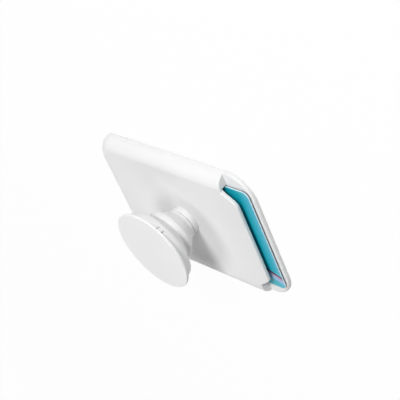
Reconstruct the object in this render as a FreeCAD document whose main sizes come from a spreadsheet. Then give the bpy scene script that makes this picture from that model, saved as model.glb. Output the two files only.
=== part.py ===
import FreeCAD, Part
import math
import operator
import os
from types import SimpleNamespace

import Sketcher
from FreeCAD import Placement, Rotation, Vector

# Phone card holder with a pop-out grip.
# It lies on its adhesive face: z = 0 is the face that sticks to the phone, +X points out of the
# card mouth, +Z is the axis of the grip, and the origin is under the middle of the holder.

# Driving sizes in millimetres, angles in degrees
SIZES = {
    # Card, the standard bank card format that the holder is built around
    "card_length": 85.60,
    "card_width": 53.98,
    "card_thickness": 0.76,
    "card_corner": 3.18,
    "card_inset": 1.25,
    "card_end_gap": 0.30,
    "card_side_gap": 0.41,
    # Shell and plate
    "slot_height": 2.85,
    "panel_thickness": 1.57,
    "plate_thickness": 1.90,
    "side_wall": 5.87,
    "end_wall": 8.55,
    "corner_radius": 12.00,
    "back_land": 0.45,
    "skirt": 0.90,
    "plate_fit": 0.05,
    "plate_rim_round": 0.80,
    "mouth_setback": 13.45,
    "tab_length": 6.85,
    "tab_root_inset": 1.00,
    "tab_taper": 4.90,
    "tab_corner": 3.50,
    "mouth_rim_bevel": 0.40,
    # Ribs on the plate that the card glides on
    "glide_height": 0.30,
    "glide_width": 1.20,
    "glide_pitch": 18.00,
    "glide_end_gap": 2.00,
    # Adhesive pad
    "pad_thickness": 0.90,
    "pad_proud": 0.40,
    "pad_margin": 3.50,
    "pad_fit": 0.10,
    # Socket ring on the front panel
    "socket_radius": 7.20,
    "socket_height": 2.50,
    "socket_recess": 0.50,
    "socket_lip_radius": 5.70,
    "socket_lip_height": 1.20,
    "socket_groove_radius": 6.50,
    "socket_fit": 0.05,
    "socket_rim_bevel": 0.40,
    # Accordion neck
    "neck_fit": 0.10,
    "neck_shoulder_gap": 0.35,
    "neck_wall": 1.00,
    "neck_foot_radius": 7.50,
    "neck_foot_height": 1.30,
    "neck_web_rise": 5.45,
    "neck_ridge_step": 4.70,
    "neck_ridge_height": 1.50,
    "neck_groove_depth": 0.80,
    "neck_groove_rise": 1.10,
    "neck_flare_rise": 4.53,
    "neck_top_inset": 0.20,
    # Bayonet carrier on top of the neck
    "grip_clearance": 0.30,
    "bayonet_clearance": 0.20,
    "carrier_thickness": 1.00,
    "hub_clearance": 0.40,
    "hub_wall": 1.10,
    "wing_reach": 3.30,
    "wing_thickness": 0.70,
    "wing_angle": 60.0,
    "lobe_play_angle": 6.0,
    # Top ring and disc
    "skirt_drop": 0.20,
    "ring_low_radius": 17.60,
    "ring_top_radius": 19.00,
    "ring_wall": 1.00,
    "ring_web": 0.70,
    "ring_headroom": 1.00,
    "disc_radius": 20.00,
    "disc_thickness": 1.15,
    "disc_edge_bevel": 0.40,
    "lug_height": 1.75,
    "lug_angle": 7.6,
    "lug_play_angle": 0.9,
    "lug_fit": 0.10,
    "lug_bearing": 53.0,
}

SHEET = "Sizes"
TOLERANCE = 1e-4
FULL_TURN = 360.0
OPERATIONS = {"+": operator.add, "-": operator.sub, "*": operator.mul, "/": operator.truediv}


class Size:
    """A number together with the sheet expression that it comes from."""

    def __init__(self, value, text):
        self.value = value
        self.text = text

    def __add__(self, other):
        return combine(self, "+", other)

    def __sub__(self, other):
        return combine(self, "-", other)

    def __mul__(self, other):
        return combine(self, "*", other)

    def __truediv__(self, other):
        return combine(self, "/", other)

    def __neg__(self):
        return combine(0, "-", self)


def as_size(item):
    return item if isinstance(item, Size) else Size(item, repr(item))


def combine(left, sign, right):
    left = as_size(left)
    right = as_size(right)
    value = OPERATIONS[sign](left.value, right.value)
    return Size(value, f"({left.text} {sign} {right.text})")


def write_sheet(document):
    sheet = document.addObject("Spreadsheet::Sheet", SHEET)
    for row, (alias, value) in enumerate(SIZES.items(), start=1):
        sheet.set(f"A{row}", alias)
        sheet.set(f"B{row}", str(value))
        sheet.setAlias(f"B{row}", alias)
    document.recompute()


doc = FreeCAD.newDocument("phone_card_holder")
write_sheet(doc)
dim = SimpleNamespace(**{alias: Size(value, f"{SHEET}.{alias}") for alias, value in SIZES.items()})

# Plan of the holder, worked out from the card
slot_half = dim.card_width / 2 + dim.card_side_gap
shell_half_width = slot_half + dim.side_wall
shell_length = dim.card_inset + dim.card_length + dim.card_end_gap + dim.end_wall
half_length = shell_length / 2
slot_end = dim.end_wall - half_length
side_end = half_length - dim.mouth_setback
tab_end = side_end + dim.tab_length
tab_root_half = slot_half - dim.tab_root_inset
tab_end_half = tab_root_half - dim.tab_taper

# Section of the holder, counted from the back edge of the shell
shell_depth = dim.plate_thickness + dim.slot_height + dim.panel_thickness
front_round = shell_depth - dim.back_land
panel_front = dim.pad_proud + shell_depth

# Levels of the neck, counted from the floor of the socket's recess
socket_top = dim.socket_recess + dim.socket_height
socket_lip = socket_top - dim.socket_lip_height
neck_shoulder = socket_top + dim.neck_shoulder_gap
neck_foot_top = neck_shoulder + dim.neck_foot_height
neck_ridge_low = neck_foot_top + dim.neck_web_rise
neck_ridge_high = neck_ridge_low + dim.neck_ridge_height
neck_groove = neck_ridge_high + dim.neck_groove_rise
neck_top = neck_groove + dim.neck_flare_rise

# Radii of the grip
carrier_radius = dim.ring_low_radius - dim.ring_wall - dim.grip_clearance
neck_ridge_radius = dim.neck_foot_radius + dim.neck_ridge_step
neck_groove_radius = neck_ridge_radius - dim.neck_groove_depth
neck_top_radius = carrier_radius - dim.neck_top_inset
hub_bore = dim.socket_radius + dim.hub_clearance
hub_radius = hub_bore + dim.hub_wall
wing_radius = hub_radius + dim.wing_reach

# Levels of the grip's top, counted from the underside of the carrier plate
web_low = dim.carrier_thickness + dim.bayonet_clearance
web_high = web_low + dim.ring_web
wing_low = web_high + dim.bayonet_clearance
wing_high = wing_low + dim.wing_thickness
ring_top = wing_high + dim.ring_headroom
ring_height = ring_top + dim.skirt_drop


def bind(item, path, size):
    item.setExpression(path, as_size(size).text)


def new_body(name, level=0, shift=0):
    """Start a sub-part whose own zero level lies at the given height."""
    body = doc.addObject("PartDesign::Body", name)
    body.Label = name
    bind(body, "Placement.Base.z", level)
    bind(body, "Placement.Base.x", shift)
    return body


def plane_sketch(body, name, role="XY_Plane", level=0, bearing=0):
    """Lay a sketch on an origin plane, raised to a level or swung round the Z axis."""
    sketch = body.newObject("Sketcher::SketchObject", name)
    plane = next(item for item in body.Origin.OriginFeatures if item.Role == role)
    sketch.AttachmentSupport = (plane, "")
    sketch.MapMode = "FlatFace"
    if role == "XY_Plane":
        bind(sketch, "AttachmentOffset.Base.z", level)
    else:
        sketch.AttachmentOffset = Placement(Vector(), Rotation(Vector(0, 1, 0), as_size(bearing).value))
    return sketch


def pin_point(sketch, geometry, position, point, name):
    """Tie a point of the sketch to its two coordinates."""
    coordinates = (("DistanceX", point[0], -2), ("DistanceY", point[1], -1))
    for kind, size, axis in coordinates:
        size = as_size(size)
        if size.value == 0:
            sketch.addConstraint(Sketcher.Constraint("PointOnObject", geometry, position, axis))
            continue
        index = sketch.addConstraint(Sketcher.Constraint(kind, -1, 1, geometry, position, size.value))
        label = f"{name}_{kind[-1].lower()}"
        sketch.renameConstraint(index, label)
        bind(sketch, f"Constraints.{label}", size)


def arc_through(start, end, radius):
    """Arc from start to end that bulges to the right of the way between them."""
    chord = end - start
    left = Vector(-chord.y, chord.x, 0).normalize()
    middle = (start + end) / 2
    sagitta = radius - math.sqrt(radius ** 2 - (chord.Length / 2) ** 2)
    return Part.Arc(start, middle - left * sagitta, end)


def draw_loop(sketch, points, prefix="corner"):
    """Draw a closed loop through the points; a third entry rounds the edge that follows its point."""
    places = [Vector(as_size(point[0]).value, as_size(point[1]).value, 0) for point in points]
    first = sketch.GeometryCount
    count = len(points)
    for index, point in enumerate(points):
        start = places[index]
        end = places[(index + 1) % count]
        rounded = len(point) == 3
        edge = arc_through(start, end, point[2].value) if rounded else Part.LineSegment(start, end)
        sketch.addGeometry(edge, False)
    for index in range(count):
        following = first + (index + 1) % count
        sketch.addConstraint(Sketcher.Constraint("Coincident", first + index, 2, following, 1))
    for index, point in enumerate(points):
        pin_point(sketch, first + index, 1, point, f"{prefix}_{index}")
        if len(point) == 3:
            set_radius(sketch, first + index, point[2], f"{prefix}_{index}_radius")


def set_radius(sketch, geometry, radius, name):
    index = sketch.addConstraint(Sketcher.Constraint("Radius", geometry, radius.value))
    sketch.renameConstraint(index, name)
    bind(sketch, f"Constraints.{name}", radius)


def box_loop(left, right, half_width, left_radius=None, right_radius=None):
    """Corners of a box in plan, counterclockwise, with the ends rounded where a radius is given."""
    loop = []
    if left_radius:
        loop += [(left, left_radius - half_width, left_radius), (left + left_radius, -half_width)]
    else:
        loop += [(left, -half_width)]
    if right_radius:
        loop += [(right - right_radius, -half_width, right_radius), (right, right_radius - half_width)]
        loop += [(right, half_width - right_radius, right_radius), (right - right_radius, half_width)]
    else:
        loop += [(right, -half_width), (right, half_width)]
    if left_radius:
        loop += [(left + left_radius, half_width, left_radius), (left, half_width - left_radius)]
    else:
        loop += [(left, half_width)]
    return loop


def draw_circle(sketch, radius):
    circle = sketch.addGeometry(Part.Circle(Vector(), Vector(0, 0, 1), radius.value), False)
    sketch.addConstraint(Sketcher.Constraint("Coincident", circle, 3, -1, 1))
    set_radius(sketch, circle, radius, "radius")


def pad(body, sketch, name, length):
    feature = body.newObject("PartDesign::Pad", name)
    feature.Profile = sketch
    bind(feature, "Length", length)
    doc.recompute()
    return feature


def pocket_up(body, sketch, name, depth):
    """Cut upwards from the sketch."""
    feature = body.newObject("PartDesign::Pocket", name)
    feature.Profile = sketch
    feature.Reversed = True
    bind(feature, "Length", depth)
    doc.recompute()
    return feature


def turn(body, kind, sketch, name, angle=FULL_TURN):
    """Turn a section round the grip's axis, to add or to cut."""
    feature = body.newObject(f"PartDesign::{kind}", name)
    feature.Profile = sketch
    feature.ReferenceAxis = (sketch, ["V_Axis"])
    feature.Midplane = True
    bind(feature, "Angle", angle)
    doc.recompute()
    return feature


def repeat_opposite(body, feature, name):
    """Repeat a feature on the opposite side of the axis."""
    pattern = body.newObject("PartDesign::PolarPattern", name)
    pattern.Originals = [feature]
    pattern.Axis = (next(item for item in body.Origin.OriginFeatures if item.Role == "Z_Axis"), [""])
    pattern.Angle = FULL_TURN
    pattern.Occurrences = 2
    body.Tip = pattern
    doc.recompute()
    return pattern


def soften(body, base, kind, name, size, wanted):
    """Put a fillet or a chamfer on the edges of a feature that the test picks out."""
    names = [f"Edge{index}" for index, edge in enumerate(base.Shape.Edges, start=1) if wanted(edge)]
    if not names:
        raise RuntimeError(f"{name}: no edge found")
    feature = body.newObject(f"PartDesign::{kind}", name)
    feature.Base = (base, names)
    bind(feature, {"Fillet": "Radius", "Chamfer": "Size"}[kind], size)
    doc.recompute()
    return feature


def round_edges(body, base, name, radius, wanted):
    return soften(body, base, "Fillet", name, radius, wanted)


def bevel_edges(body, base, name, size, wanted):
    return soften(body, base, "Chamfer", name, size, wanted)


def near(first, second):
    return abs(first - second) < TOLERANCE


def upright_at(corners):
    """Test for straight edges that stand on one of the plan corners."""
    places = [(x.value, y.value) for x, y in corners]

    def wanted(edge):
        box = edge.BoundBox
        if box.ZLength < TOLERANCE or box.XLength > TOLERANCE or box.YLength > TOLERANCE:
            return False
        return any(near(box.XMin, x) and near(box.YMin, y) for x, y in places)

    return wanted


def level_between(level, low_x, high_x):
    """Test for edges that lie at one level, between two places along the holder."""

    def wanted(edge):
        box = edge.BoundBox
        flat = near(box.ZMin, level.value) and near(box.ZMax, level.value)
        return flat and box.XMin > low_x.value - TOLERANCE and box.XMax < high_x.value + TOLERANCE

    return wanted


def any_circle(places):
    """Test for full circles round the axis, each given by its radius and its level."""
    circles = [(as_size(radius).value, as_size(level).value) for radius, level in places]

    def wanted(edge):
        box = edge.BoundBox
        if not isinstance(edge.Curve, Part.Circle) or box.ZLength > TOLERANCE:
            return False
        return any(near(edge.Curve.Radius, radius) and near(box.ZMin, level) for radius, level in circles)

    return wanted


def both_sides(x, half_width):
    return [(x, half_width), (x, -half_width)]


def build_front_shell():
    """Moulded front: panel with the thumb tab, two side walls, closed end and a skirt round the plate."""
    body = new_body("front_shell", dim.pad_proud)
    outline = plane_sketch(body, "shell_outline")
    draw_loop(outline, box_loop(-half_length, tab_end, shell_half_width, dim.corner_radius))
    block = pad(body, outline, "shell_block", shell_depth)

    def front_edge(edge):
        flat = near(edge.BoundBox.ZMin, shell_depth.value)
        return flat and edge.BoundBox.XMin < tab_end.value - TOLERANCE

    round_edges(body, block, "shell_front_round", front_round, front_edge)

    beyond = tab_end + dim.tab_length
    outside = shell_half_width + dim.side_wall
    mouth = plane_sketch(body, "mouth_cut")
    for side, sign in (("upper", 1), ("lower", -1)):
        loop = [
            (side_end, outside * sign),
            (side_end, tab_root_half * sign),
            (tab_end, tab_end_half * sign),
            (beyond, tab_end_half * sign),
            (beyond, outside * sign),
        ]
        draw_loop(mouth, loop, side)
    pocket_up(body, mouth, "mouth", shell_depth)

    rebate = plane_sketch(body, "plate_rebate_outline")
    rebate_end = dim.skirt - half_length
    rebate_half = shell_half_width - dim.skirt
    draw_loop(rebate, box_loop(rebate_end, beyond, rebate_half, dim.corner_radius - dim.skirt))
    pocket_up(body, rebate, "plate_rebate", dim.plate_thickness)

    slot = plane_sketch(body, "card_slot_outline", level=dim.plate_thickness)
    draw_loop(slot, box_loop(slot_end, beyond, slot_half))
    cut = pocket_up(body, slot, "card_slot", dim.slot_height)
    tab_corners = upright_at(both_sides(tab_end, tab_end_half))
    cut = round_edges(body, cut, "tab_corners", dim.tab_corner, tab_corners)
    tab_rim = level_between(shell_depth, side_end, tab_end)

    def mouth_rim_edge(edge):
        """The rim of the tab, and the curved edge at the end of each side wall."""
        at_wall_end = near(edge.BoundBox.XMin, side_end.value) and near(edge.BoundBox.XMax, side_end.value)
        return tab_rim(edge) or (at_wall_end and isinstance(edge.Curve, Part.Circle))

    bevel_edges(body, cut, "mouth_rim", dim.mouth_rim_bevel, mouth_rim_edge)

    seat = plane_sketch(body, "socket_seat_outline", level=shell_depth - dim.socket_recess)
    draw_circle(seat, dim.socket_radius + dim.socket_fit)
    pocket_up(body, seat, "socket_seat", dim.socket_recess)
    return body


def build_back_plate():
    """Plate that closes the back: nested in the skirt, full width at the mouth, ribbed under the card."""
    body = new_body("back_plate", dim.pad_proud)
    nest_end = dim.skirt + dim.plate_fit - half_length
    nest_half = shell_half_width - dim.skirt - dim.plate_fit
    shoulder = side_end + dim.plate_fit
    nest_radius = dim.corner_radius - dim.skirt - dim.plate_fit
    outline = plane_sketch(body, "plate_outline")
    nest = box_loop(nest_end, shoulder, nest_half, nest_radius)
    exposed = box_loop(shoulder, half_length, shell_half_width, right_radius=dim.corner_radius)
    draw_loop(outline, nest[:3] + exposed + nest[3:])
    block = pad(body, outline, "plate_block", dim.plate_thickness)
    rim = level_between(dim.plate_thickness, shoulder, half_length)

    def rim_edge(edge):
        return rim(edge) and edge.BoundBox.XMax > shoulder.value + TOLERANCE

    round_edges(body, block, "plate_rim", dim.plate_rim_round, rim_edge)

    recess = plane_sketch(body, "pad_recess_outline")
    recess_x = half_length - dim.pad_margin
    recess_y = shell_half_width - dim.pad_margin
    recess_corner = dim.corner_radius - dim.pad_margin
    draw_loop(recess, box_loop(-recess_x, recess_x, recess_y, recess_corner, recess_corner))
    pocket_up(body, recess, "pad_recess", dim.pad_thickness - dim.pad_proud)

    ribs = plane_sketch(body, "glide_rib_outlines", level=dim.plate_thickness)
    rib_start = slot_end + dim.glide_end_gap
    for name, row in (("near_rib", -1), ("middle_rib", 0), ("far_rib", 1)):
        low = dim.glide_pitch * row - dim.glide_width / 2
        high = low + dim.glide_width
        draw_loop(ribs, [(rib_start, low), (side_end, low), (side_end, high), (rib_start, high)], name)
    pad(body, ribs, "glide_ribs", dim.glide_height)
    return body


def build_adhesive_pad():
    """Gel pad that sticks the holder to a phone, seated in the plate and standing proud of it."""
    body = new_body("adhesive_pad")
    margin = dim.pad_margin + dim.pad_fit
    pad_x = half_length - margin
    pad_y = shell_half_width - margin
    outline = plane_sketch(body, "pad_outline")
    corner = dim.corner_radius - margin
    draw_loop(outline, box_loop(-pad_x, pad_x, pad_y, corner, corner))
    pad(body, outline, "pad_sheet", dim.pad_thickness)
    return body


def build_card():
    """Plastic card that lies on the plate's ribs, its end just inside the end of the plate."""
    half_card = dim.card_length / 2
    centre = half_length - dim.card_inset - half_card
    body = new_body("plastic_card", dim.pad_proud + dim.plate_thickness + dim.glide_height, centre)
    outline = plane_sketch(body, "card_outline")
    draw_loop(outline, box_loop(-half_card, half_card, dim.card_width / 2, dim.card_corner, dim.card_corner))
    pad(body, outline, "card_sheet", dim.card_thickness)
    return body


def build_socket_ring():
    """Ring let into the panel, whose lip holds down the bead at the foot of the neck."""
    body = new_body("socket_ring", panel_front - dim.socket_recess)
    section = plane_sketch(body, "socket_section", "XZ_Plane")
    loop = [
        (dim.socket_groove_radius, 0),
        (dim.socket_radius, 0),
        (dim.socket_radius, socket_top),
        (dim.socket_lip_radius, socket_top),
        (dim.socket_lip_radius, socket_lip),
        (dim.socket_groove_radius, socket_lip),
    ]
    draw_loop(section, loop)
    ring = turn(body, "Revolution", section, "socket_turned")
    outer_rim = any_circle([(dim.socket_radius, socket_top)])
    bevel_edges(body, ring, "socket_rim", dim.socket_rim_bevel, outer_rim)
    return body


def build_neck():
    """Soft accordion neck: a bead in the socket, a ridge, a groove and a flare up to the carrier."""
    body = new_body("accordion_neck", panel_front - dim.socket_recess)
    bead_radius = dim.socket_groove_radius - dim.neck_fit
    bead_top = socket_lip - dim.neck_fit
    stem_radius = dim.socket_lip_radius - dim.neck_fit
    floor = neck_shoulder + dim.neck_wall
    # On the slopes the inner skin lies higher than the outer one, which keeps the wall's thickness
    lift = dim.neck_wall / 2
    section = plane_sketch(body, "neck_section", "XZ_Plane")
    loop = [
        (0, 0),
        (bead_radius, 0),
        (bead_radius, bead_top),
        (stem_radius, bead_top),
        (stem_radius, neck_shoulder),
        (dim.neck_foot_radius, neck_shoulder),
        (dim.neck_foot_radius, neck_foot_top),
        (neck_ridge_radius, neck_ridge_low),
        (neck_ridge_radius, neck_ridge_high),
        (neck_groove_radius, neck_groove),
        (neck_top_radius, neck_top),
        (neck_top_radius - dim.neck_wall, neck_top),
        (neck_groove_radius - dim.neck_wall, neck_groove + lift),
        (neck_ridge_radius - dim.neck_wall, neck_ridge_low + lift),
        (stem_radius - dim.neck_wall, floor),
        (0, floor),
    ]
    draw_loop(section, loop)
    turn(body, "Revolution", section, "neck_turned")
    return body


def build_carrier():
    """Plate on top of the neck, with a hollow hub and two wings that hold the swappable top."""
    body = new_body("bayonet_carrier", panel_front - dim.socket_recess + neck_top)
    section = plane_sketch(body, "carrier_section", "XZ_Plane")
    loop = [
        (hub_bore, 0),
        (carrier_radius, 0),
        (carrier_radius, dim.carrier_thickness),
        (hub_radius, dim.carrier_thickness),
        (hub_radius, wing_high),
        (hub_bore, wing_high),
    ]
    draw_loop(section, loop)
    turn(body, "Revolution", section, "carrier_turned")
    wing = plane_sketch(body, "wing_section", "XZ_Plane")
    root = hub_radius - dim.hub_wall / 2
    draw_loop(wing, [(root, wing_low), (wing_radius, wing_low), (wing_radius, wing_high), (root, wing_high)])
    repeat_opposite(body, turn(body, "Revolution", wing, "wing", dim.wing_angle), "wings")
    return body


def ring_radius_at(level):
    """Outer radius of the tapered top ring at a level above its lower edge."""
    return dim.ring_low_radius + (dim.ring_top_radius - dim.ring_low_radius) * level / ring_height


def build_top_ring():
    """Tapered ring under the disc: a web with a keyed opening grips the carrier's wings."""
    body = new_body("top_ring", panel_front - dim.socket_recess + neck_top - dim.skirt_drop)
    opening = hub_radius + dim.bayonet_clearance
    low = web_low + dim.skirt_drop
    high = web_high + dim.skirt_drop
    section = plane_sketch(body, "ring_section", "XZ_Plane")
    loop = [
        (dim.ring_low_radius - dim.ring_wall, 0),
        (dim.ring_low_radius, 0),
        (dim.ring_top_radius, ring_height),
        (dim.ring_top_radius - dim.ring_wall, ring_height),
        (ring_radius_at(high) - dim.ring_wall, high),
        (opening, high),
        (opening, low),
        (ring_radius_at(low) - dim.ring_wall, low),
    ]
    draw_loop(section, loop)
    turn(body, "Revolution", section, "ring_turned")

    lobe = plane_sketch(body, "lobe_section", "YZ_Plane")
    lobe_in = opening - dim.hub_wall
    lobe_out = wing_radius + dim.bayonet_clearance
    draw_loop(lobe, [(lobe_in, low), (lobe_out, low), (lobe_out, high), (lobe_in, high)])
    lobe_angle = dim.wing_angle + dim.lobe_play_angle
    repeat_opposite(body, turn(body, "Groove", lobe, "lobe", lobe_angle), "lobes")

    notch = plane_sketch(body, "notch_section", "XZ_Plane", bearing=dim.lug_bearing)
    floor = ring_height - dim.lug_height - dim.lug_fit
    inside = dim.ring_low_radius - dim.ring_wall
    outside = dim.ring_top_radius + dim.ring_wall
    draw_loop(notch, [(inside, floor), (outside, floor), (outside, ring_height), (inside, ring_height)])
    notch_angle = dim.lug_angle + dim.lug_play_angle * 2
    repeat_opposite(body, turn(body, "Groove", notch, "notch", notch_angle), "notches")
    return body


def build_top_disc():
    """Round finger disc, located on the ring by two lugs that fill the ring's notches."""
    body = new_body("top_disc", panel_front - dim.socket_recess + neck_top + ring_top)
    section = plane_sketch(body, "disc_section", "XZ_Plane")
    thickness = dim.disc_thickness
    draw_loop(section, [(0, 0), (dim.disc_radius, 0), (dim.disc_radius, thickness), (0, thickness)])
    disc = turn(body, "Revolution", section, "disc_turned")
    rim = any_circle([(dim.disc_radius, thickness)])
    bevel_edges(body, disc, "disc_edge", dim.disc_edge_bevel, rim)
    lug = plane_sketch(body, "lug_section", "XZ_Plane", bearing=dim.lug_bearing)
    lug_foot = ring_radius_at(ring_height - dim.lug_height)
    lug_inner = lug_foot - dim.ring_wall
    loop = [
        (lug_inner, -dim.lug_height),
        (lug_foot, -dim.lug_height),
        (dim.ring_top_radius, 0),
        (dim.ring_top_radius, thickness / 2),
        (lug_inner, thickness / 2),
    ]
    draw_loop(lug, loop)
    repeat_opposite(body, turn(body, "Revolution", lug, "lug", dim.lug_angle), "lugs")
    return body


def check_document(bodies):
    """Stop if any feature failed or any sub-part is not one valid solid."""
    for item in doc.Objects:
        if "Invalid" in item.State or "Error" in item.State:
            raise RuntimeError(f"{item.Name}: {item.State}")
    for body in bodies:
        shape = body.Shape
        if shape.isNull() or not shape.isValid() or len(shape.Solids) != 1:
            raise RuntimeError(f"{body.Label}: not one valid solid")


def write_parts(bodies):
    os.makedirs("parts", exist_ok=True)
    for body in bodies:
        body.Shape.exportStep(os.path.join("parts", f"{body.Label}.step"))
        box = body.Shape.BoundBox
        print(f"{body.Label}: volume {body.Shape.Volume:.1f} mm3, z {box.ZMin:.2f} to {box.ZMax:.2f}")


parts = [
    build_front_shell(),
    build_back_plate(),
    build_adhesive_pad(),
    build_card(),
    build_socket_ring(),
    build_neck(),
    build_carrier(),
    build_top_ring(),
    build_top_disc(),
]
doc.recompute()
check_document(parts)
write_parts(parts)
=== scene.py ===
import math
from typing import NamedTuple

import bmesh
import bpy
from mathutils import Matrix, Vector


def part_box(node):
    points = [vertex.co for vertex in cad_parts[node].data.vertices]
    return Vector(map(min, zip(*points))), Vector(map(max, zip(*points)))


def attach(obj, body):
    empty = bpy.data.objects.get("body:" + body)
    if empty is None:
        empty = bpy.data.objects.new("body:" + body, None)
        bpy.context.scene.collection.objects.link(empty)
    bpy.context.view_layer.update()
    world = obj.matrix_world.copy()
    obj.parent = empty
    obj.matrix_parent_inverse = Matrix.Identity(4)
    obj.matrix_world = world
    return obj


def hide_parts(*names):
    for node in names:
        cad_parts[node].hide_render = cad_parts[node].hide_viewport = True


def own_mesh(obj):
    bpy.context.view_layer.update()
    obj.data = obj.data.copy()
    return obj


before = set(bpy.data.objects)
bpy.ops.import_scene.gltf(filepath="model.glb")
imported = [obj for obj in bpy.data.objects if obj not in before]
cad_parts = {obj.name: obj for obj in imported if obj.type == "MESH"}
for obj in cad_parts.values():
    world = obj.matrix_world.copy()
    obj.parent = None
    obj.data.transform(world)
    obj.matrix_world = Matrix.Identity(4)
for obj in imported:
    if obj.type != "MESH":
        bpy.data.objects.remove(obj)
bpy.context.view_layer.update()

# Lengths are millimetres unless a comment says metres, and this factor turns them into metres
MM = 0.001

# Camera, fitted to the outline of the holder and the width of its card; its reach is in metres
CAMERA_FROM = Vector((358.57, 298.22, 206.99)) * MM
CAMERA_AIM = Vector((-0.03, 2.59, -3.64)) * MM
CAMERA_UP = Vector((-0.2450, 0.7419, -0.6241))
CAMERA_LENS = 105.7
CAMERA_REACH = 20.0
SENSOR_WIDTH = 36.0

# Studio: direction towards each lamp, its distance and width in metres, its power in watts
LAMPS = {
    "key": ((0.300, 0.760, 0.577), 1.2, 0.30, 9.8),
    "top": ((0.000, 0.320, 0.947), 1.2, 0.50, 3.6),
    "low": ((0.150, -0.620, 0.770), 1.2, 1.00, 3.0),
    "side": ((-0.835, -0.147, 0.530), 1.2, 0.80, 1.2),
}
AMBIENT = 0.04
FULL_WHITE = 1.0

# Floor in metres: its share of white near the object grows to one over the fade
FLOOR_SIZE = 6.0
FLOOR_LEVEL = -0.0002
FLOOR_COLOUR = (0.90, 0.90, 0.90)
FLOOR_GLOW_SHARE = 0.96
FLOOR_FADE = (0.3, 1.0)

# Fineness of the turned and rounded meshes
TURN_STEPS = 160
ARC_STEPS = 6
CORNER_STEPS = 16
LUG_STEPS = 8

# Softened edges of the moulded pieces, the reach of the weld in metres
WELD_REACH = 1e-6
SHARP_ANGLE = math.radians(35.0)
BEVEL_SEGMENTS = 2
EDGE_SOFTNESS = {
    "front_shell": 0.20,
    "back_plate": 0.20,
    "adhesive_pad": 0.20,
    "bayonet_carrier": 0.10,
    "top_ring": 0.12,
}

# Neck, radii and heights over its foot
BEAD_RADIUS = 6.40
BEAD_HEIGHT = 1.70
STEM_RADIUS = 5.60
FOOT_RADIUS = 7.50
SHOULDER = 3.35
FOOT_TOP = 4.65
RIDGE_RADIUS = 12.20
RIDGE_LOW = 10.10
RIDGE_HIGH = 11.60
GROOVE_RADIUS = 11.40
GROOVE = 12.70
NECK_TOP_RADIUS = 16.10
NECK_WALL = 1.00

# Neck, roundings of its edges and folds, outside and then inside
SHARP = 0.0
BEAD_ROUND = 0.30
STEM_ROUND = 0.20
SHOULDER_ROUND = 0.15
FOOT_ROUND = 1.60
RIDGE_LOW_ROUND = 1.00
RIDGE_HIGH_ROUND = 0.70
GROOVE_ROUND = 0.60
NECK_RIM_ROUND = 0.20
INNER_GROOVE_ROUND = 0.40
INNER_RIDGE_ROUND = 0.60
INNER_FOOT_ROUND = 0.30

# Socket that holds the bead of the neck
SOCKET_RADIUS = 7.20
SOCKET_LIP_RADIUS = 5.70
SOCKET_GROOVE_RADIUS = 6.50
SOCKET_LIP = 1.20
SOCKET_RIM_ROUND = 0.25
SOCKET_LIP_ROUND = 0.30
SOCKET_UNDERCUT_ROUND = 0.15

# Disc and its lugs
DISC_RADIUS = 20.00
DISC_THICKNESS = 1.15
DISC_EDGE = 0.25
LUG_HEIGHT = 1.75
LUG_INNER_RADIUS = 17.39
LUG_FOOT_RADIUS = 18.39
LUG_TOP_RADIUS = 19.00
LUG_ANGLE = math.radians(7.6)
LUG_BEARINGS = (math.radians(53.0), math.radians(233.0))
LUG_SOFTNESS = 0.12

# Card, its corners, softened edge, the width of a near-black back layer that is painted shade of the gap
# under the card, and the reach of its fading print, whose darker teal by the tab is partly painted shade
# of the tab
CARD_CORNER = 3.18
CARD_EDGE = 0.12
CARD_BACK_SHADE = 0.28
# Along the card: the teal darkens towards the tab end, partly print and partly painted shade of the tab
CARD_TAB_SHADE_FADE = (40.5, 46.6)

# Stripes on the card: the direction across them, their span along it, and tones by share of the span
STRIPE_SLANT = (-0.35, -0.94, 0.0)
STRIPE_SPAN = (2.0, 7.4)
CLEAR = (0.0, 0.0, 0.0, 0.0)
STRIPE_TONES = {
    0.07: (0.10, 0.012, 0.03, 1.0),
    0.28: (0.42, 0.32, 0.50, 1.0),
    0.52: (0.33, 0.50, 0.78, 1.0),
    0.85: CLEAR,
}

# Colours, in pairs where a darker and a lighter tone drift into each other
WHITE = (0.86, 0.86, 0.86)
# Whiter copy of the same white plastic: painted light for the disc and socket, standing in for the light
# they catch
PAINTED_LIGHT_WHITE = (0.93, 0.93, 0.93)
GEL_TONES = ((0.42, 0.43, 0.44), (0.48, 0.49, 0.50))
CARD_CORE_TONES = ((0.62, 0.82, 0.93), (0.67, 0.86, 0.96))
# Near-black tones of the card's lower edge: painted shade of the gap between the card and the plate
CARD_BACK_SHADE_TONES = ((0.020, 0.016, 0.020), (0.028, 0.022, 0.028))
CARD_TEALS = ((0.002, 0.37, 0.46), (0.006, 0.41, 0.51))
CARD_PALE = (0.07, 0.50, 0.66)

# Finishes: the share of a white in its darker patches, the spread of roughness, and how fine the noise is
PLASTIC_SHADE = 0.975
RUBBER_SHADE = 0.96
ROUGHNESS_SPREAD = 0.05
PLAIN_DETAIL = 2.0
GRAIN_DETAIL = 3.0
FINE_DETAIL = 4.0

# Middle half of a noise's range, where most of it lies
NOISE_SPAN = (0.25, 0.75)

# Sockets of a mix node that are for colours
MIX_FIRST = 6
MIX_SECOND = 7
MIX_RESULT = 2


class Surface(NamedTuple):
    """A material with its nodes and shader, and the object's own coordinates for its patterns."""

    material: bpy.types.Material
    tree: bpy.types.NodeTree
    shader: bpy.types.Node
    place: bpy.types.NodeSocket


def new_object(name, data):
    made = bpy.data.objects.new(name, data)
    bpy.context.scene.collection.objects.link(made)
    return made


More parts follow.
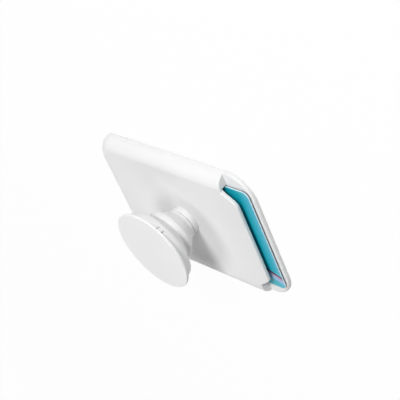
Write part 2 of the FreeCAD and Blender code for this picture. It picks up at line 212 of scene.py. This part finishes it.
def add_camera():
    data = bpy.data.cameras.new("camera")
    data.lens = CAMERA_LENS
    data.sensor_width = SENSOR_WIDTH
    data.clip_end = CAMERA_REACH
    camera = new_object("camera", data)
    back = (CAMERA_FROM - CAMERA_AIM).normalized()
    right = CAMERA_UP.cross(back).normalized()
    up = back.cross(right)
    turn = Matrix((right, up, back)).transposed().to_4x4()
    camera.matrix_world = Matrix.Translation(CAMERA_FROM) @ turn
    bpy.context.scene.camera = camera


def add_lamp(name, direction, distance, width, power):
    data = bpy.data.lights.new(name, "AREA")
    data.shape = "DISK"
    data.size = width
    data.energy = power
    lamp = new_object(name, data)
    lamp.location = Vector(direction).normalized() * distance
    lamp.rotation_euler = lamp.location.to_track_quat("Z", "Y").to_euler()
    lamp.visible_camera = False


def add_math(tree, operation, first, second):
    node = tree.nodes.new("ShaderNodeMath")
    node.operation = operation
    tree.links.new(first, node.inputs[0])
    tree.links.new(second, node.inputs[1])
    return node.outputs[0]


def backdrop_share(tree):
    """One where a ray comes straight, by a reflection or through glass, and nought for other light."""
    path = tree.nodes.new("ShaderNodeLightPath")
    seen = add_math(tree, "MAXIMUM", path.outputs["Is Camera Ray"], path.outputs["Is Glossy Ray"])
    return add_math(tree, "MAXIMUM", seen, path.outputs["Is Transmission Ray"])


def finish_mix(tree, share, first, second, output_kind):
    """Send a mix of two shaders to an output."""
    mix = tree.nodes.new("ShaderNodeMixShader")
    tree.links.new(share, mix.inputs[0])
    tree.links.new(first.outputs[0], mix.inputs[1])
    tree.links.new(second.outputs[0], mix.inputs[2])
    output = tree.nodes.new(output_kind)
    tree.links.new(mix.outputs[0], output.inputs["Surface"])


def add_background(tree, strength):
    background = tree.nodes.new("ShaderNodeBackground")
    background.inputs["Color"].default_value = (1.0, 1.0, 1.0, 1.0)
    background.inputs["Strength"].default_value = strength
    return background


def set_world():
    """Even light on the object, in front of a white backdrop."""
    world = bpy.data.worlds.new("studio")
    bpy.context.scene.world = world
    world.use_nodes = True
    tree = world.node_tree
    tree.nodes.clear()
    light = add_background(tree, AMBIENT)
    backdrop = add_background(tree, FULL_WHITE)
    finish_mix(tree, backdrop_share(tree), light, backdrop, "ShaderNodeOutputWorld")


def floor_material():
    """White floor that takes the object's shadow near it, and has an even tone further out."""
    material = bpy.data.materials.new("floor_white")
    material.use_nodes = True
    tree = material.node_tree
    tree.nodes.clear()
    distance = tree.nodes.new("ShaderNodeVectorMath")
    distance.operation = "LENGTH"
    tree.links.new(tree.nodes.new("ShaderNodeTexCoord").outputs["Object"], distance.inputs[0])
    level = map_range(tree, distance.outputs["Value"], FLOOR_GLOW_SHARE, 1.0, FLOOR_FADE)
    matt = tree.nodes.new("ShaderNodeBsdfDiffuse")
    matt.inputs["Color"].default_value = (*FLOOR_COLOUR, 1.0)
    glow = tree.nodes.new("ShaderNodeEmission")
    glow.inputs["Strength"].default_value = FULL_WHITE
    share = add_math(tree, "MULTIPLY", backdrop_share(tree), level)
    finish_mix(tree, share, matt, glow, "ShaderNodeOutputMaterial")
    return material


def add_floor():
    half = FLOOR_SIZE / 2
    mesh = bpy.data.meshes.new("floor")
    corners = [(-half, -half), (half, -half), (half, half), (-half, half)]
    mesh.from_pydata([(x, y, FLOOR_LEVEL) for x, y in corners], [], [(0, 1, 2, 3)])
    mesh.materials.append(floor_material())
    floor = new_object("floor", mesh)


def new_surface(name):
    material = bpy.data.materials.new(name)
    material.use_nodes = True
    tree = material.node_tree
    place = tree.nodes.new("ShaderNodeTexCoord").outputs["Object"]
    return Surface(material, tree, tree.nodes["Principled BSDF"], place)


def add_noise(surface, patch, detail):
    """Noise whose patches are about the given number of millimetres across."""
    noise = surface.tree.nodes.new("ShaderNodeTexNoise")
    noise.inputs["Scale"].default_value = 1.0 / (patch * MM)
    noise.inputs["Detail"].default_value = detail
    surface.tree.links.new(surface.place, noise.inputs["Vector"])
    return noise.outputs["Fac"]


def map_range(tree, source, low, high, span=NOISE_SPAN):
    """Spread a span of a pattern's values between two others."""
    spread = tree.nodes.new("ShaderNodeMapRange")
    spread.inputs["From Min"].default_value = span[0]
    spread.inputs["From Max"].default_value = span[1]
    spread.inputs["To Min"].default_value = low
    spread.inputs["To Max"].default_value = high
    tree.links.new(source, spread.inputs["Value"])
    return spread.outputs["Result"]


def mix_colours(tree, share, first, second):
    """Mix two colours, each a plain colour or the output of a node."""
    mix = tree.nodes.new("ShaderNodeMix")
    mix.data_type = "RGBA"
    tree.links.new(share, mix.inputs["Factor"])
    for socket, tone in ((mix.inputs[MIX_FIRST], first), (mix.inputs[MIX_SECOND], second)):
        if isinstance(tone, tuple):
            socket.default_value = (*tone, 1.0)
        else:
            tree.links.new(tone, socket)
    return mix.outputs[MIX_RESULT]


def toned_colour(surface, dark, light, patch, detail=PLAIN_DETAIL):
    """Colour that drifts between two tones."""
    share = map_range(surface.tree, add_noise(surface, patch, detail), 0.0, 1.0)
    return mix_colours(surface.tree, share, dark, light)


def set_colour(surface, colour):
    surface.tree.links.new(colour, surface.shader.inputs["Base Color"])


def vary_roughness(surface, low, high, patch, detail=PLAIN_DETAIL):
    roughness = map_range(surface.tree, add_noise(surface, patch, detail), low, high)
    surface.tree.links.new(roughness, surface.shader.inputs["Roughness"])


def add_grain(surface, patch, depth, strength, detail):
    """Fine relief of a depth in millimetres."""
    bump = surface.tree.nodes.new("ShaderNodeBump")
    bump.inputs["Distance"].default_value = depth * MM
    bump.inputs["Strength"].default_value = strength
    surface.tree.links.new(add_noise(surface, patch, detail), bump.inputs["Height"])
    surface.tree.links.new(bump.outputs["Normal"], surface.shader.inputs["Normal"])


def shaded(colour, share):
    return tuple(value * share for value in colour)


def moulded_plastic(name, colour, roughness, grain, depth):
    """White moulded plastic: fine eroded grain, a slow change of tone and of gloss."""
    surface = new_surface(name)
    set_colour(surface, toned_colour(surface, shaded(colour, PLASTIC_SHADE), colour, patch=22.0))
    low = roughness - ROUGHNESS_SPREAD
    high = roughness + ROUGHNESS_SPREAD
    vary_roughness(surface, low, high, patch=6.0, detail=FINE_DETAIL)
    add_grain(surface, patch=grain, depth=depth, strength=0.35, detail=GRAIN_DETAIL)
    return surface.material


def soft_rubber(name, colour):
    """Soft white rubber of the accordion: matt, with a very fine grain."""
    surface = new_surface(name)
    set_colour(surface, toned_colour(surface, shaded(colour, RUBBER_SHADE), colour, patch=9.0))
    vary_roughness(surface, low=0.46, high=0.58, patch=2.5, detail=FINE_DETAIL)
    add_grain(surface, patch=0.18, depth=0.02, strength=0.30, detail=GRAIN_DETAIL)
    return surface.material


def gel(name):
    """Grey tacky gel with a faint orange peel."""
    surface = new_surface(name)
    set_colour(surface, toned_colour(surface, *GEL_TONES, patch=5.0, detail=FINE_DETAIL))
    vary_roughness(surface, low=0.29, high=0.39, patch=3.0)
    add_grain(surface, patch=1.1, depth=0.05, strength=0.5, detail=PLAIN_DETAIL)
    return surface.material


def card_core(name):
    """Pale plastic core that shows as a thin line round the card."""
    surface = new_surface(name)
    set_colour(surface, toned_colour(surface, *CARD_CORE_TONES, patch=1.5))
    surface.shader.inputs["Roughness"].default_value = 0.35
    return surface.material


def card_back_shade(name):
    """Near-black back layer, a thin line under the pale core: partly the card's printed back, mostly
    painted shade of the gap between card and plate.
    """
    surface = new_surface(name)
    set_colour(surface, toned_colour(surface, *CARD_BACK_SHADE_TONES, patch=3.0))
    vary_roughness(surface, low=0.30, high=0.40, patch=4.0)
    return surface.material


def card_stripes(tree, place):
    """Share and colour of three slanted stripes across a corner of the card."""
    across = tree.nodes.new("ShaderNodeVectorMath")
    across.operation = "DOT_PRODUCT"
    across.inputs[1].default_value = STRIPE_SLANT
    tree.links.new(place, across.inputs[0])
    span = (STRIPE_SPAN[0] * MM, STRIPE_SPAN[1] * MM)
    stripes = tree.nodes.new("ShaderNodeValToRGB")
    ramp = stripes.color_ramp
    ramp.interpolation = "CONSTANT"
    ramp.elements.remove(ramp.elements[1])
    ramp.elements[0].color = CLEAR
    for position, tone in STRIPE_TONES.items():
        ramp.elements.new(position).color = tone
    tree.links.new(map_range(tree, across.outputs["Value"], 0.0, 1.0, span), stripes.inputs["Fac"])
    return stripes.outputs["Alpha"], stripes.outputs["Color"]


def card_print(name):
    """Glossy print: a teal field that pales towards the outer end, with stripes across a corner. Its
    darker teal next to the tab is partly print and partly painted shade of the tab.
    """
    surface = new_surface(name)
    tree = surface.tree
    teal = toned_colour(surface, *CARD_TEALS, patch=8.0)
    along = tree.nodes.new("ShaderNodeSeparateXYZ")
    tree.links.new(surface.place, along.inputs[0])
    # Darker teal towards the tab: partly print, partly painted shade of the tab
    tab_shade_fade = map_range(tree, along.outputs["X"], 0.0, 1.0, (CARD_TAB_SHADE_FADE[0] * MM, CARD_TAB_SHADE_FADE[1] * MM))
    field = mix_colours(tree, tab_shade_fade, teal, CARD_PALE)
    share, stripes = card_stripes(tree, surface.place)
    set_colour(surface, mix_colours(tree, share, field, stripes))
    vary_roughness(surface, low=0.29, high=0.37, patch=4.0)
    return surface.material


def rounded_outline(corners):
    """Outline of (radius, height, rounding) corners in millimetres, each rounding drawn as an arc."""
    outline = []
    for index, (radius, height, rounding) in enumerate(corners):
        corner = Vector((radius, height))
        if rounding == SHARP:
            outline.append(corner)
            continue
        before = (Vector(corners[index - 1][:2]) - corner).normalized()
        after = (Vector(corners[index + 1][:2]) - corner).normalized()
        half = before.angle(after) / 2
        centre = corner + (before + after).normalized() * rounding / math.sin(half)
        start = corner + before * rounding / math.tan(half) - centre
        sweep = start.angle_signed(corner + after * rounding / math.tan(half) - centre)
        for step in range(ARC_STEPS + 1):
            angle = -sweep * step / ARC_STEPS
            outline.append(centre + Matrix.Rotation(angle, 2) @ start)
    return outline


def turned_point(shape, radius, height, angle, level):
    """Point about the grip's axis, at a height in millimetres over a level in metres."""
    place = (radius * math.cos(angle) * MM, radius * math.sin(angle) * MM, height * MM + level)
    return shape.verts.new(place)


def bridge_rings(shape, first, second, slot=0):
    """Faces between two rings of points; a ring may be a single point."""
    for step in range(max(len(first), len(second))):
        following = step + 1
        corners = [
            first[step % len(first)],
            first[following % len(first)],
            second[following % len(second)],
            second[step % len(second)],
        ]
        face = shape.faces.new(list(dict.fromkeys(corners)))
        face.material_index = slot


def turned_mesh(name, outline, level):
    """Mesh of an outline turned about the grip's axis; its ends may lie on the axis."""
    shape = bmesh.new()
    rings = []
    for radius, height in outline:
        spokes = TURN_STEPS if radius > 0.0 else 1
        angles = [2 * math.pi * step / TURN_STEPS for step in range(spokes)]
        rings.append([turned_point(shape, radius, height, angle, level) for angle in angles])
    closed = len(rings[0]) > 1
    following_rings = rings[1:] + rings[:1] if closed else rings[1:]
    for first, second in zip(rings, following_rings):
        bridge_rings(shape, first, second)
    return finished_mesh(name, shape)


def finished_mesh(name, shape):
    bmesh.ops.recalc_face_normals(shape, faces=shape.faces)
    for face in shape.faces:
        face.smooth = True
    mesh = bpy.data.meshes.new(name)
    shape.to_mesh(mesh)
    shape.free()
    return mesh


def add_piece(name, mesh, materials, body, node):
    """Put a modelled piece on its body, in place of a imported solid."""
    for material in materials:
        mesh.materials.append(material)
    piece = new_object(name, mesh)
    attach(piece, body)
    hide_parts(node)
    return piece


def even_normals(piece):
    """Keep large flat faces flat beside their rounded edges."""
    even = piece.modifiers.new("even_normals", "WEIGHTED_NORMAL")
    even.keep_sharp = True


def add_neck(material):
    """Soft accordion: bead, stem, foot, ridge, groove and flare, each fold rounded."""
    low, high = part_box("accordion_neck")
    top = (high[2] - low[2]) / MM
    lift = NECK_WALL / 2
    corners = [
        (0.0, 0.0, SHARP),
        (BEAD_RADIUS, 0.0, BEAD_ROUND),
        (BEAD_RADIUS, BEAD_HEIGHT, BEAD_ROUND),
        (STEM_RADIUS, BEAD_HEIGHT, STEM_ROUND),
        (STEM_RADIUS, SHOULDER, STEM_ROUND),
        (FOOT_RADIUS, SHOULDER, SHOULDER_ROUND),
        (FOOT_RADIUS, FOOT_TOP, FOOT_ROUND),
        (RIDGE_RADIUS, RIDGE_LOW, RIDGE_LOW_ROUND),
        (RIDGE_RADIUS, RIDGE_HIGH, RIDGE_HIGH_ROUND),
        (GROOVE_RADIUS, GROOVE, GROOVE_ROUND),
        (NECK_TOP_RADIUS, top, NECK_RIM_ROUND),
        (NECK_TOP_RADIUS - NECK_WALL, top, NECK_RIM_ROUND),
        (GROOVE_RADIUS - NECK_WALL, GROOVE + lift, INNER_GROOVE_ROUND),
        (RIDGE_RADIUS - NECK_WALL, RIDGE_LOW + lift, INNER_RIDGE_ROUND),
        (STEM_RADIUS - NECK_WALL, SHOULDER + NECK_WALL, INNER_FOOT_ROUND),
        (0.0, SHOULDER + NECK_WALL, SHARP),
    ]
    mesh = turned_mesh("soft_neck", rounded_outline(corners), low[2])
    neck = add_piece("soft_neck", mesh, [material], "wallet", "accordion_neck")
    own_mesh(neck)


def add_socket(material):
    """Glossy collar that holds the bead of the neck."""
    low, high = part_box("socket_ring")
    top = (high[2] - low[2]) / MM
    lip = top - SOCKET_LIP
    corners = [
        (SOCKET_GROOVE_RADIUS, 0.0, SHARP),
        (SOCKET_RADIUS, 0.0, SHARP),
        (SOCKET_RADIUS, top, SOCKET_RIM_ROUND),
        (SOCKET_LIP_RADIUS, top, SOCKET_LIP_ROUND),
        (SOCKET_LIP_RADIUS, lip, SOCKET_UNDERCUT_ROUND),
        (SOCKET_GROOVE_RADIUS, lip, SHARP),
    ]
    mesh = turned_mesh("socket_collar", rounded_outline(corners), low[2])
    collar = add_piece("socket_collar", mesh, [material], "wallet", "socket_ring")
    even_normals(collar)


def add_disc(material):
    """Finger disc with a rounded rim and two lugs in the ring's notches."""
    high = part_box("top_disc")[1]
    underside = high[2] - DISC_THICKNESS * MM
    corners = [
        (0.0, 0.0, SHARP),
        (DISC_RADIUS, 0.0, DISC_EDGE),
        (DISC_RADIUS, DISC_THICKNESS, DISC_EDGE),
        (0.0, DISC_THICKNESS, SHARP),
    ]
    mesh = turned_mesh("finger_disc", rounded_outline(corners), underside)
    disc = add_piece("finger_disc", mesh, [material], "grip_top", "top_disc")
    even_normals(disc)
    for index, bearing in enumerate(LUG_BEARINGS):
        add_lug(f"disc_lug_{index + 1}", bearing, underside, material)


def add_lug(name, bearing, underside, material):
    """Small block under the disc, flush with the tapered ring."""
    outline = [
        (LUG_INNER_RADIUS, -LUG_HEIGHT),
        (LUG_FOOT_RADIUS, -LUG_HEIGHT),
        (LUG_TOP_RADIUS, 0.0),
        (LUG_INNER_RADIUS, 0.0),
    ]
    shape = bmesh.new()
    sections = []
    for step in range(LUG_STEPS + 1):
        angle = bearing + LUG_ANGLE * (step / LUG_STEPS - 0.5)
        section = [turned_point(shape, radius, height, angle, underside) for radius, height in outline]
        sections.append(section)
    for first, second in zip(sections, sections[1:]):
        bridge_rings(shape, first, second)
    shape.faces.new(sections[0])
    shape.faces.new(sections[-1])
    mesh = finished_mesh(name, shape)
    lug = add_piece(name, mesh, [material], "grip_top", "top_disc")
    soften_edges(lug, LUG_SOFTNESS)


def card_ring(shape, middle, half, height, inset):
    """Ring of points round the card at a height, inset from its outline."""
    corner = CARD_CORNER * MM
    reach = corner - inset
    ring = []
    for quarter in range(4):
        turn = quarter * math.pi / 2
        x = (half.x - corner) * (1 if quarter in (0, 3) else -1)
        y = (half.y - corner) * (1 if quarter in (0, 1) else -1)
        for step in range(CORNER_STEPS + 1):
            angle = turn + math.pi / 2 * step / CORNER_STEPS
            spot = Vector((x + reach * math.cos(angle), y + reach * math.sin(angle), height))
            ring.append(shape.verts.new(middle + spot))
    return ring


def add_card(core, printed, back):
    """Bank card with rounded corners and softened edges, printed on its front, over a near-black back
    layer that is painted shade of the gap under the card.
    """
    low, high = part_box("plastic_card")
    middle = (Vector(low) + Vector(high)) / 2
    half = (Vector(high) - Vector(low)) / 2
    edge = CARD_EDGE * MM
    levels = [
        (-half.z, edge),
        (-half.z + edge, 0.0),
        (-half.z + CARD_BACK_SHADE * MM, 0.0),
        (half.z - edge, 0.0),
        (half.z, edge),
    ]
    # The lowest band of the edge takes the near-black layer, painted shade of the gap under the card
    core_slot, print_slot, back_shade_slot = range(3)
    band_slots = (back_shade_slot, back_shade_slot, core_slot, core_slot)
    shape = bmesh.new()
    rings = [card_ring(shape, middle, half, height, inset) for height, inset in levels]
    for band_slot, first, second in zip(band_slots, rings, rings[1:]):
        bridge_rings(shape, first, second, band_slot)
    shape.faces.new(rings[0]).material_index = back_shade_slot
    shape.faces.new(rings[-1]).material_index = print_slot
    mesh = finished_mesh("bank_card", shape)
    card = add_piece("bank_card", mesh, [core, printed, back], "wallet", "plastic_card")
    even_normals(card)


def soften_edges(piece, width):
    """Join the faces of a piece and break its sharp edges by a width in millimetres."""
    weld = piece.modifiers.new("weld", "WELD")
    weld.merge_threshold = WELD_REACH
    bevel = piece.modifiers.new("soft_edges", "BEVEL")
    bevel.width = width * MM
    bevel.segments = BEVEL_SEGMENTS
    bevel.limit_method = "ANGLE"
    bevel.angle_limit = SHARP_ANGLE
    bevel.harden_normals = True


def dress_node(name, material):
    """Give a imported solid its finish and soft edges."""
    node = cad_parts[name]
    node.data.materials.clear()
    node.data.materials.append(material)
    soften_edges(node, EDGE_SOFTNESS[name])


shell_white = moulded_plastic("shell_white", WHITE, roughness=0.56, grain=0.30, depth=0.02)
carrier_white = moulded_plastic("carrier_white", WHITE, roughness=0.50, grain=0.30, depth=0.02)
ring_white = moulded_plastic("ring_white", WHITE, roughness=0.55, grain=0.25, depth=0.02)
# Socket and disc take the whiter copy of the white: painted light standing in for the light they catch
socket_white = moulded_plastic("socket_white", PAINTED_LIGHT_WHITE, roughness=0.34, grain=0.25, depth=0.005)
disc_white = moulded_plastic("disc_white", PAINTED_LIGHT_WHITE, roughness=0.62, grain=0.25, depth=0.02)

dress_node("front_shell", shell_white)
dress_node("back_plate", shell_white)
dress_node("adhesive_pad", gel("gel_pad"))
dress_node("bayonet_carrier", carrier_white)
dress_node("top_ring", ring_white)
add_neck(soft_rubber("neck_white", WHITE))
add_socket(socket_white)
add_disc(disc_white)
# The card's near-black back layer is painted shade of the gap under it
add_card(card_core("card_core"), card_print("card_print"), card_back_shade("card_back_shade"))

add_camera()
add_floor()
for lamp_name, lamp in LAMPS.items():
    add_lamp(lamp_name, *lamp)
set_world()
bpy.context.scene.view_settings.view_transform = "Standard"
